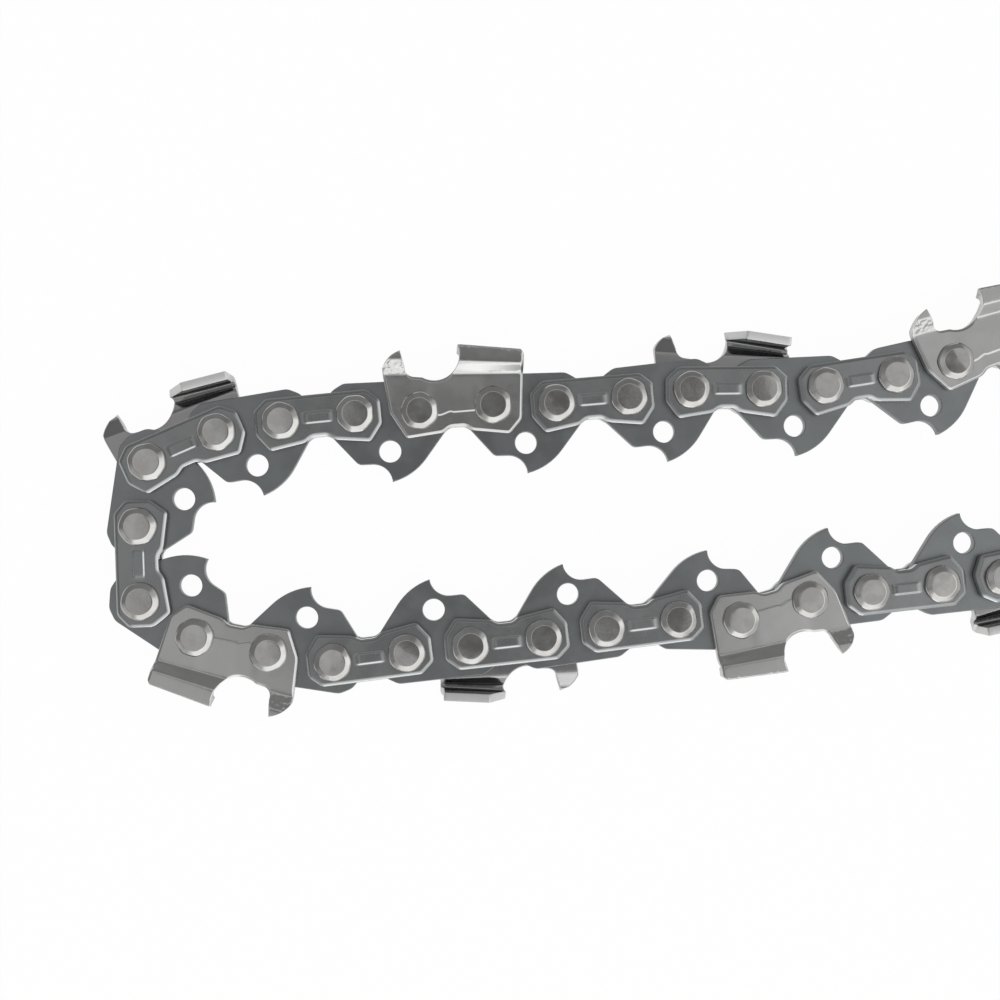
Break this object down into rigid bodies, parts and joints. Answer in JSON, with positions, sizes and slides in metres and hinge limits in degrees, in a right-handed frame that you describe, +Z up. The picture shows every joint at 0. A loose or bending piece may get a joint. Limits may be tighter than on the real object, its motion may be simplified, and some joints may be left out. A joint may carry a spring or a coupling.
{
  "type": "chainsaw chain loop",
  "caption": "Endless low-profile saw chain lying on its side: hooked drive links riveted between tie straps, with left and right cutters and rakers alternating.",
  "frame": {"origin": "middle of the loop's bounding box, on the surface that the chain lies on", "axes": "+Z up along the rivets, +X along the loop's longer direction, +Y across the loop"},
  "size_m": [0.2498, 0.0698, 0.0064],
  "materials": {
    "drive_link_steel": "dark oiled steel, satin",
    "tie_strap_steel": "dark bluish heat-treated steel, satin",
    "cutter_chrome": "satin hard chrome over steel"
  },
  "bodies": {
    "drive_link_01": {"drive_link_01": "drive_link_steel"},
    "tie_link_01": {"tie_link_01": "tie_strap_steel"},
    "drive_link_02": {"drive_link_02": "drive_link_steel"},
    "right_cutter_link_02": {"right_cutter_link_02": "cutter_chrome"},
    "drive_link_03": {"drive_link_03": "drive_link_steel"},
    "tie_link_03": {"tie_link_03": "tie_strap_steel"},
    "drive_link_04": {"drive_link_04": "drive_link_steel"},
    "left_cutter_link_04": {"left_cutter_link_04": "cutter_chrome"},
    "drive_link_05": {"drive_link_05": "drive_link_steel"},
    "tie_link_05": {"tie_link_05": "tie_strap_steel"},
    "drive_link_06": {"drive_link_06": "drive_link_steel"},
    "right_cutter_link_06": {"right_cutter_link_06": "cutter_chrome"},
    "drive_link_07": {"drive_link_07": "drive_link_steel"},
    "tie_link_07": {"tie_link_07": "tie_strap_steel"},
    "drive_link_08": {"drive_link_08": "drive_link_steel"},
    "left_cutter_link_08": {"left_cutter_link_08": "cutter_chrome"},
    "drive_link_09": {"drive_link_09": "drive_link_steel"},
    "tie_link_09": {"tie_link_09": "tie_strap_steel"},
    "drive_link_10": {"drive_link_10": "drive_link_steel"},
    "right_cutter_link_10": {"right_cutter_link_10": "cutter_chrome"},
    "drive_link_11": {"drive_link_11": "drive_link_steel"},
    "tie_link_11": {"tie_link_11": "tie_strap_steel"},
    "drive_link_12": {"drive_link_12": "drive_link_steel"},
    "left_cutter_link_12": {"left_cutter_link_12": "cutter_chrome"},
    "drive_link_13": {"drive_link_13": "drive_link_steel"},
    "tie_link_13": {"tie_link_13": "tie_strap_steel"},
    "drive_link_14": {"drive_link_14": "drive_link_steel"},
    "right_cutter_link_14": {"right_cutter_link_14": "cutter_chrome"},
    "drive_link_15": {"drive_link_15": "drive_link_steel"},
    "tie_link_15": {"tie_link_15": "tie_strap_steel"},
    "drive_link_16": {"drive_link_16": "drive_link_steel"},
    "left_cutter_link_16": {"left_cutter_link_16": "cutter_chrome"},
    "drive_link_17": {"drive_link_17": "drive_link_steel"},
    "tie_link_17": {"tie_link_17": "tie_strap_steel"},
    "drive_link_18": {"drive_link_18": "drive_link_steel"},
    "right_cutter_link_18": {"right_cutter_link_18": "cutter_chrome"},
    "drive_link_19": {"drive_link_19": "drive_link_steel"},
    "tie_link_19": {"tie_link_19": "tie_strap_steel"},
    "drive_link_20": {"drive_link_20": "drive_link_steel"},
    "left_cutter_link_20": {"left_cutter_link_20": "cutter_chrome"},
    "drive_link_21": {"drive_link_21": "drive_link_steel"},
    "tie_link_21": {"tie_link_21": "tie_strap_steel"},
    "drive_link_22": {"drive_link_22": "drive_link_steel"},
    "right_cutter_link_22": {"right_cutter_link_22": "cutter_chrome"},
    "drive_link_23": {"drive_link_23": "drive_link_steel"},
    "tie_link_23": {"tie_link_23": "tie_strap_steel"},
    "drive_link_24": {"drive_link_24": "drive_link_steel"},
    "left_cutter_link_24": {"left_cutter_link_24": "cutter_chrome"},
    "drive_link_25": {"drive_link_25": "drive_link_steel"},
    "tie_link_25": {"tie_link_25": "tie_strap_steel"},
    "drive_link_26": {"drive_link_26": "drive_link_steel"},
    "right_cutter_link_26": {"right_cutter_link_26": "cutter_chrome"},
    "drive_link_27": {"drive_link_27": "drive_link_steel"},
    "tie_link_27": {"tie_link_27": "tie_strap_steel"},
    "drive_link_28": {"drive_link_28": "drive_link_steel"},
    "left_cutter_link_28": {"left_cutter_link_28": "cutter_chrome"}
  },
  "joints": [
    {"name": "rivet_00", "type": "hinge", "parent": "left_cutter_link_28", "child": "drive_link_01", "pos_m": [-0.00803, 0.01326, 0.0032], "axis": [0, 0, 1], "range_deg": [0, 13.42]},
    {"name": "rivet_01", "type": "hinge", "parent": "drive_link_01", "child": "tie_link_01", "pos_m": [-0.01646, 0.01131, 0.0032], "axis": [0, 0, 1], "range_deg": [0, 10.43]},
    {"name": "rivet_02", "type": "hinge", "parent": "tie_link_01", "child": "drive_link_02", "pos_m": [-0.02632, 0.00975, 0.0032], "axis": [0, 0, 1], "range_deg": [0, 12.43]},
    {"name": "rivet_03", "type": "hinge", "parent": "drive_link_02", "child": "right_cutter_link_02", "pos_m": [-0.03497, 0.00929, 0.0032], "axis": [0, 0, 1], "range_deg": [0, 8.43]},
    {"name": "rivet_04", "type": "hinge", "parent": "right_cutter_link_02", "child": "drive_link_03", "pos_m": [-0.04495, 0.00912, 0.0032], "axis": [0, 0, 1], "range_deg": [0, 0.44]},
    {"name": "rivet_05", "type": "hinge", "parent": "drive_link_03", "child": "tie_link_03", "pos_m": [-0.05354, 0.00806, 0.0032], "axis": [0, 0, 1], "range_deg": [0, 8.43]},
    {"name": "rivet_06", "type": "hinge", "parent": "tie_link_03", "child": "drive_link_04", "pos_m": [-0.06348, 0.00719, 0.0032], "axis": [0, 0, 1], "range_deg": [0, 9.43]},
    {"name": "rivet_07", "type": "hinge", "parent": "drive_link_04", "child": "left_cutter_link_04", "pos_m": [-0.07214, 0.00689, 0.0032], "axis": [0, 0, 1], "range_deg": [0, 3.44]},
    {"name": "rivet_08", "type": "hinge", "parent": "left_cutter_link_04", "child": "drive_link_05", "pos_m": [-0.08208, 0.00602, 0.0032], "axis": [0, 0, 1], "range_deg": [0, 8.43]},
    {"name": "rivet_09", "type": "hinge", "parent": "drive_link_05", "child": "tie_link_05", "pos_m": [-0.09073, 0.00557, 0.0032], "axis": [0, 0, 1], "range_deg": [0, 3.44]},
    {"name": "rivet_10", "type": "hinge", "parent": "tie_link_05", "child": "drive_link_06", "pos_m": [-0.10065, 0.00453, 0.0032], "axis": [0, 0, 1], "range_deg": [0, 2.44]},
    {"name": "rivet_11", "type": "hinge", "parent": "drive_link_06", "child": "right_cutter_link_06", "pos_m": [-0.10918, 0.00302, 0.0032], "axis": [0, 0, 1], "range_deg": [-7.58, 0]},
    {"name": "rivet_12", "type": "hinge", "parent": "right_cutter_link_06", "child": "drive_link_07", "pos_m": [-0.1183, -0.00104, 0.0032], "axis": [0, 0, 1], "range_deg": [-51.5, 0]},
    {"name": "rivet_13", "type": "hinge", "parent": "drive_link_07", "child": "tie_link_07", "pos_m": [-0.11951, -0.00961, 0.0032], "axis": [0, 0, 1], "range_deg": [-3.58, 0]},
    {"name": "rivet_14", "type": "hinge", "parent": "tie_link_07", "child": "drive_link_08", "pos_m": [-0.11916, -0.01959, 0.0032], "axis": [0, 0, 1], "range_deg": [-47.52, 0]},
    {"name": "rivet_15", "type": "hinge", "parent": "drive_link_08", "child": "left_cutter_link_08", "pos_m": [-0.11198, -0.02443, 0.0032], "axis": [0, 0, 1], "range_deg": [-15.56, 0]},
    {"name": "rivet_16", "type": "hinge", "parent": "left_cutter_link_08", "child": "drive_link_09", "pos_m": [-0.10222, -0.0265, 0.0032], "axis": [0, 0, 1], "range_deg": [0, 3.44]},
    {"name": "rivet_17", "type": "hinge", "parent": "drive_link_09", "child": "tie_link_09", "pos_m": [-0.09366, -0.02786, 0.0032], "axis": [0, 0, 1], "range_deg": [-9.57, 0]},
    {"name": "rivet_18", "type": "hinge", "parent": "tie_link_09", "child": "drive_link_10", "pos_m": [-0.08376, -0.02664, 0.0032], "axis": [0, 0, 1], "range_deg": [0, 7.43]},
    {"name": "rivet_19", "type": "hinge", "parent": "drive_link_10", "child": "right_cutter_link_10", "pos_m": [-0.07514, -0.02574, 0.0032], "axis": [0, 0, 1], "range_deg": [0, 6.43]},
    {"name": "rivet_20", "type": "hinge", "parent": "right_cutter_link_10", "child": "drive_link_11", "pos_m": [-0.06522, -0.02469, 0.0032], "axis": [0, 0, 1], "range_deg": [0, 4.44]},
    {"name": "rivet_21", "type": "hinge", "parent": "drive_link_11", "child": "tie_link_11", "pos_m": [-0.05664, -0.02349, 0.0032], "axis": [0, 0, 1], "range_deg": [0, 7.43]},
    {"name": "rivet_22", "type": "hinge", "parent": "tie_link_11", "child": "drive_link_12", "pos_m": [-0.04674, -0.02227, 0.0032], "axis": [0, 0, 1], "range_deg": [0, 14.42]},
    {"name": "rivet_23", "type": "hinge", "parent": "drive_link_12", "child": "left_cutter_link_12", "pos_m": [-0.03808, -0.02242, 0.0032], "axis": [0, 0, 1], "range_deg": [-10.57, 0]},
    {"name": "rivet_24", "type": "hinge", "parent": "left_cutter_link_12", "child": "drive_link_13", "pos_m": [-0.02849, -0.01967, 0.0032], "axis": [0, 0, 1], "range_deg": [0, 15.42]},
    {"name": "rivet_25", "type": "hinge", "parent": "drive_link_13", "child": "tie_link_13", "pos_m": [-0.01989, -0.01862, 0.0032], "axis": [0, 0, 1], "range_deg": [0, 7.43]},
    {"name": "rivet_26", "type": "hinge", "parent": "tie_link_13", "child": "drive_link_14", "pos_m": [-0.00997, -0.01757, 0.0032], "axis": [0, 0, 1], "range_deg": [0, 6.43]},
    {"name": "rivet_27", "type": "hinge", "parent": "drive_link_14", "child": "right_cutter_link_14", "pos_m": [-0.00135, -0.01667, 0.0032], "axis": [0, 0, 1], "range_deg": [-7.58, 0]},
    {"name": "rivet_29", "type": "hinge", "parent": "tie_link_15", "child": "drive_link_15", "pos_m": [0.01646, -0.01131, 0.0032], "axis": [0, 0, 1], "range_deg": [-10.43, 0]},
    {"name": "rivet_30", "type": "hinge", "parent": "drive_link_16", "child": "tie_link_15", "pos_m": [0.02632, -0.00975, 0.0032], "axis": [0, 0, 1], "range_deg": [-12.43, 0]},
    {"name": "rivet_31", "type": "hinge", "parent": "left_cutter_link_16", "child": "drive_link_16", "pos_m": [0.03497, -0.00929, 0.0032], "axis": [0, 0, 1], "range_deg": [-8.43, 0]},
    {"name": "rivet_32", "type": "hinge", "parent": "drive_link_17", "child": "left_cutter_link_16", "pos_m": [0.04495, -0.00912, 0.0032], "axis": [0, 0, 1], "range_deg": [-0.44, 0]},
    {"name": "rivet_33", "type": "hinge", "parent": "tie_link_17", "child": "drive_link_17", "pos_m": [0.05354, -0.00806, 0.0032], "axis": [0, 0, 1], "range_deg": [-8.43, 0]},
    {"name": "rivet_34", "type": "hinge", "parent": "drive_link_18", "child": "tie_link_17", "pos_m": [0.06348, -0.00719, 0.0032], "axis": [0, 0, 1], "range_deg": [-9.43, 0]},
    {"name": "rivet_35", "type": "hinge", "parent": "right_cutter_link_18", "child": "drive_link_18", "pos_m": [0.07214, -0.00689, 0.0032], "axis": [0, 0, 1], "range_deg": [-3.44, 0]},
    {"name": "rivet_36", "type": "hinge", "parent": "drive_link_19", "child": "right_cutter_link_18", "pos_m": [0.08208, -0.00602, 0.0032], "axis": [0, 0, 1], "range_deg": [-8.43, 0]},
    {"name": "rivet_37", "type": "hinge", "parent": "tie_link_19", "child": "drive_link_19", "pos_m": [0.09073, -0.00557, 0.0032], "axis": [0, 0, 1], "range_deg": [-3.44, 0]},
    {"name": "rivet_38", "type": "hinge", "parent": "drive_link_20", "child": "tie_link_19", "pos_m": [0.10065, -0.00453, 0.0032], "axis": [0, 0, 1], "range_deg": [-2.44, 0]},
    {"name": "rivet_39", "type": "hinge", "parent": "left_cutter_link_20", "child": "drive_link_20", "pos_m": [0.10918, -0.00302, 0.0032], "axis": [0, 0, 1], "range_deg": [0, 7.58]},
    {"name": "rivet_40", "type": "hinge", "parent": "drive_link_21", "child": "left_cutter_link_20", "pos_m": [0.1183, 0.00104, 0.0032], "axis": [0, 0, 1], "range_deg": [0, 51.51]},
    {"name": "rivet_41", "type": "hinge", "parent": "tie_link_21", "child": "drive_link_21", "pos_m": [0.11951, 0.00961, 0.0032], "axis": [0, 0, 1], "range_deg": [0, 3.58]},
    {"name": "rivet_42", "type": "hinge", "parent": "drive_link_22", "child": "tie_link_21", "pos_m": [0.11916, 0.01959, 0.0032], "axis": [0, 0, 1], "range_deg": [0, 47.52]},
    {"name": "rivet_43", "type": "hinge", "parent": "right_cutter_link_22", "child": "drive_link_22", "pos_m": [0.11198, 0.02443, 0.0032], "axis": [0, 0, 1], "range_deg": [0, 15.56]},
    {"name": "rivet_44", "type": "hinge", "parent": "drive_link_23", "child": "right_cutter_link_22", "pos_m": [0.10222, 0.0265, 0.0032], "axis": [0, 0, 1], "range_deg": [-3.44, 0]},
    {"name": "rivet_45", "type": "hinge", "parent": "tie_link_23", "child": "drive_link_23", "pos_m": [0.09366, 0.02786, 0.0032], "axis": [0, 0, 1], "range_deg": [0, 9.57]},
    {"name": "rivet_46", "type": "hinge", "parent": "drive_link_24", "child": "tie_link_23", "pos_m": [0.08376, 0.02664, 0.0032], "axis": [0, 0, 1], "range_deg": [-7.43, 0]},
    {"name": "rivet_47", "type": "hinge", "parent": "left_cutter_link_24", "child": "drive_link_24", "pos_m": [0.07514, 0.02574, 0.0032], "axis": [0, 0, 1], "range_deg": [-6.43, 0]},
    {"name": "rivet_48", "type": "hinge", "parent": "drive_link_25", "child": "left_cutter_link_24", "pos_m": [0.06522, 0.02469, 0.0032], "axis": [0, 0, 1], "range_deg": [-4.44, 0]},
    {"name": "rivet_49", "type": "hinge", "parent": "tie_link_25", "child": "drive_link_25", "pos_m": [0.05664, 0.02349, 0.0032], "axis": [0, 0, 1], "range_deg": [-7.43, 0]},
    {"name": "rivet_50", "type": "hinge", "parent": "drive_link_26", "child": "tie_link_25", "pos_m": [0.04674, 0.02227, 0.0032], "axis": [0, 0, 1], "range_deg": [-14.42, 0]},
    {"name": "rivet_51", "type": "hinge", "parent": "right_cutter_link_26", "child": "drive_link_26", "pos_m": [0.03808, 0.02242, 0.0032], "axis": [0, 0, 1], "range_deg": [0, 10.57]},
    {"name": "rivet_52", "type": "hinge", "parent": "drive_link_27", "child": "right_cutter_link_26", "pos_m": [0.02849, 0.01967, 0.0032], "axis": [0, 0, 1], "range_deg": [-15.42, 0]},
    {"name": "rivet_53", "type": "hinge", "parent": "tie_link_27", "child": "drive_link_27", "pos_m": [0.01989, 0.01862, 0.0032], "axis": [0, 0, 1], "range_deg": [-7.43, 0]},
    {"name": "rivet_54", "type": "hinge", "parent": "drive_link_28", "child": "tie_link_27", "pos_m": [0.00997, 0.01757, 0.0032], "axis": [0, 0, 1], "range_deg": [-6.43, 0]},
    {"name": "rivet_55", "type": "hinge", "parent": "left_cutter_link_28", "child": "drive_link_28", "pos_m": [0.00135, 0.01667, 0.0032], "axis": [0, 0, 1], "range_deg": [0, 7.58]}
  ],
  "couplings": [
    {"joint": "rivet_00", "follows": "rivet_12", "ratio": -0.26039},
    {"joint": "rivet_01", "follows": "rivet_12", "ratio": -0.20222},
    {"joint": "rivet_02", "follows": "rivet_12", "ratio": -0.241},
    {"joint": "rivet_03", "follows": "rivet_12", "ratio": -0.16343},
    {"joint": "rivet_04", "follows": "rivet_12", "ratio": -0.00831},
    {"joint": "rivet_05", "follows": "rivet_12", "ratio": -0.16343},
    {"joint": "rivet_06", "follows": "rivet_12", "ratio": -0.18282},
    {"joint": "rivet_07", "follows": "rivet_12", "ratio": -0.066482},
    {"joint": "rivet_08", "follows": "rivet_12", "ratio": -0.16343},
    {"joint": "rivet_09", "follows": "rivet_12", "ratio": -0.066482},
    {"joint": "rivet_10", "follows": "rivet_12", "ratio": -0.047091},
    {"joint": "rivet_11", "follows": "rivet_12", "ratio": 0.14681},
    {"joint": "rivet_13", "follows": "rivet_12", "ratio": 0.069252},
    {"joint": "rivet_14", "follows": "rivet_12", "ratio": 0.92244},
    {"joint": "rivet_15", "follows": "rivet_12", "ratio": 0.30194},
    {"joint": "rivet_16", "follows": "rivet_12", "ratio": -0.066482},
    {"joint": "rivet_17", "follows": "rivet_12", "ratio": 0.1856},
    {"joint": "rivet_18", "follows": "rivet_12", "ratio": -0.14404},
    {"joint": "rivet_19", "follows": "rivet_12", "ratio": -0.12465},
    {"joint": "rivet_20", "follows": "rivet_12", "ratio": -0.085873},
    {"joint": "rivet_21", "follows": "rivet_12", "ratio": -0.14404},
    {"joint": "rivet_22", "follows": "rivet_12", "ratio": -0.27978},
    {"joint": "rivet_23", "follows": "rivet_12", "ratio": 0.20499},
    {"joint": "rivet_24", "follows": "rivet_12", "ratio": -0.29917},
    {"joint": "rivet_25", "follows": "rivet_12", "ratio": -0.14404},
    {"joint": "rivet_26", "follows": "rivet_12", "ratio": -0.12465},
    {"joint": "rivet_27", "follows": "rivet_12", "ratio": 0.14681},
    {"joint": "rivet_29", "follows": "rivet_12", "ratio": 0.20222},
    {"joint": "rivet_30", "follows": "rivet_12", "ratio": 0.241},
    {"joint": "rivet_31", "follows": "rivet_12", "ratio": 0.16343},
    {"joint": "rivet_32", "follows": "rivet_12", "ratio": 0.00831},
    {"joint": "rivet_33", "follows": "rivet_12", "ratio": 0.16343},
    {"joint": "rivet_34", "follows": "rivet_12", "ratio": 0.18282},
    {"joint": "rivet_35", "follows": "rivet_12", "ratio": 0.066482},
    {"joint": "rivet_36", "follows": "rivet_12", "ratio": 0.16343},
    {"joint": "rivet_37", "follows": "rivet_12", "ratio": 0.066482},
    {"joint": "rivet_38", "follows": "rivet_12", "ratio": 0.047091},
    {"joint": "rivet_39", "follows": "rivet_12", "ratio": -0.14681},
    {"joint": "rivet_40", "follows": "rivet_12", "ratio": -1},
    {"joint": "rivet_41", "follows": "rivet_12", "ratio": -0.069252},
    {"joint": "rivet_42", "follows": "rivet_12", "ratio": -0.92244},
    {"joint": "rivet_43", "follows": "rivet_12", "ratio": -0.30194},
    {"joint": "rivet_44", "follows": "rivet_12", "ratio": 0.066482},
    {"joint": "rivet_45", "follows": "rivet_12", "ratio": -0.1856},
    {"joint": "rivet_46", "follows": "rivet_12", "ratio": 0.14404},
    {"joint": "rivet_47", "follows": "rivet_12", "ratio": 0.12465},
    {"joint": "rivet_48", "follows": "rivet_12", "ratio": 0.085873},
    {"joint": "rivet_49", "follows": "rivet_12", "ratio": 0.14404},
    {"joint": "rivet_50", "follows": "rivet_12", "ratio": 0.27978},
    {"joint": "rivet_51", "follows": "rivet_12", "ratio": -0.20499},
    {"joint": "rivet_52", "follows": "rivet_12", "ratio": 0.29917},
    {"joint": "rivet_53", "follows": "rivet_12", "ratio": 0.14404},
    {"joint": "rivet_54", "follows": "rivet_12", "ratio": 0.12465},
    {"joint": "rivet_55", "follows": "rivet_12", "ratio": -0.14681}
  ]
}
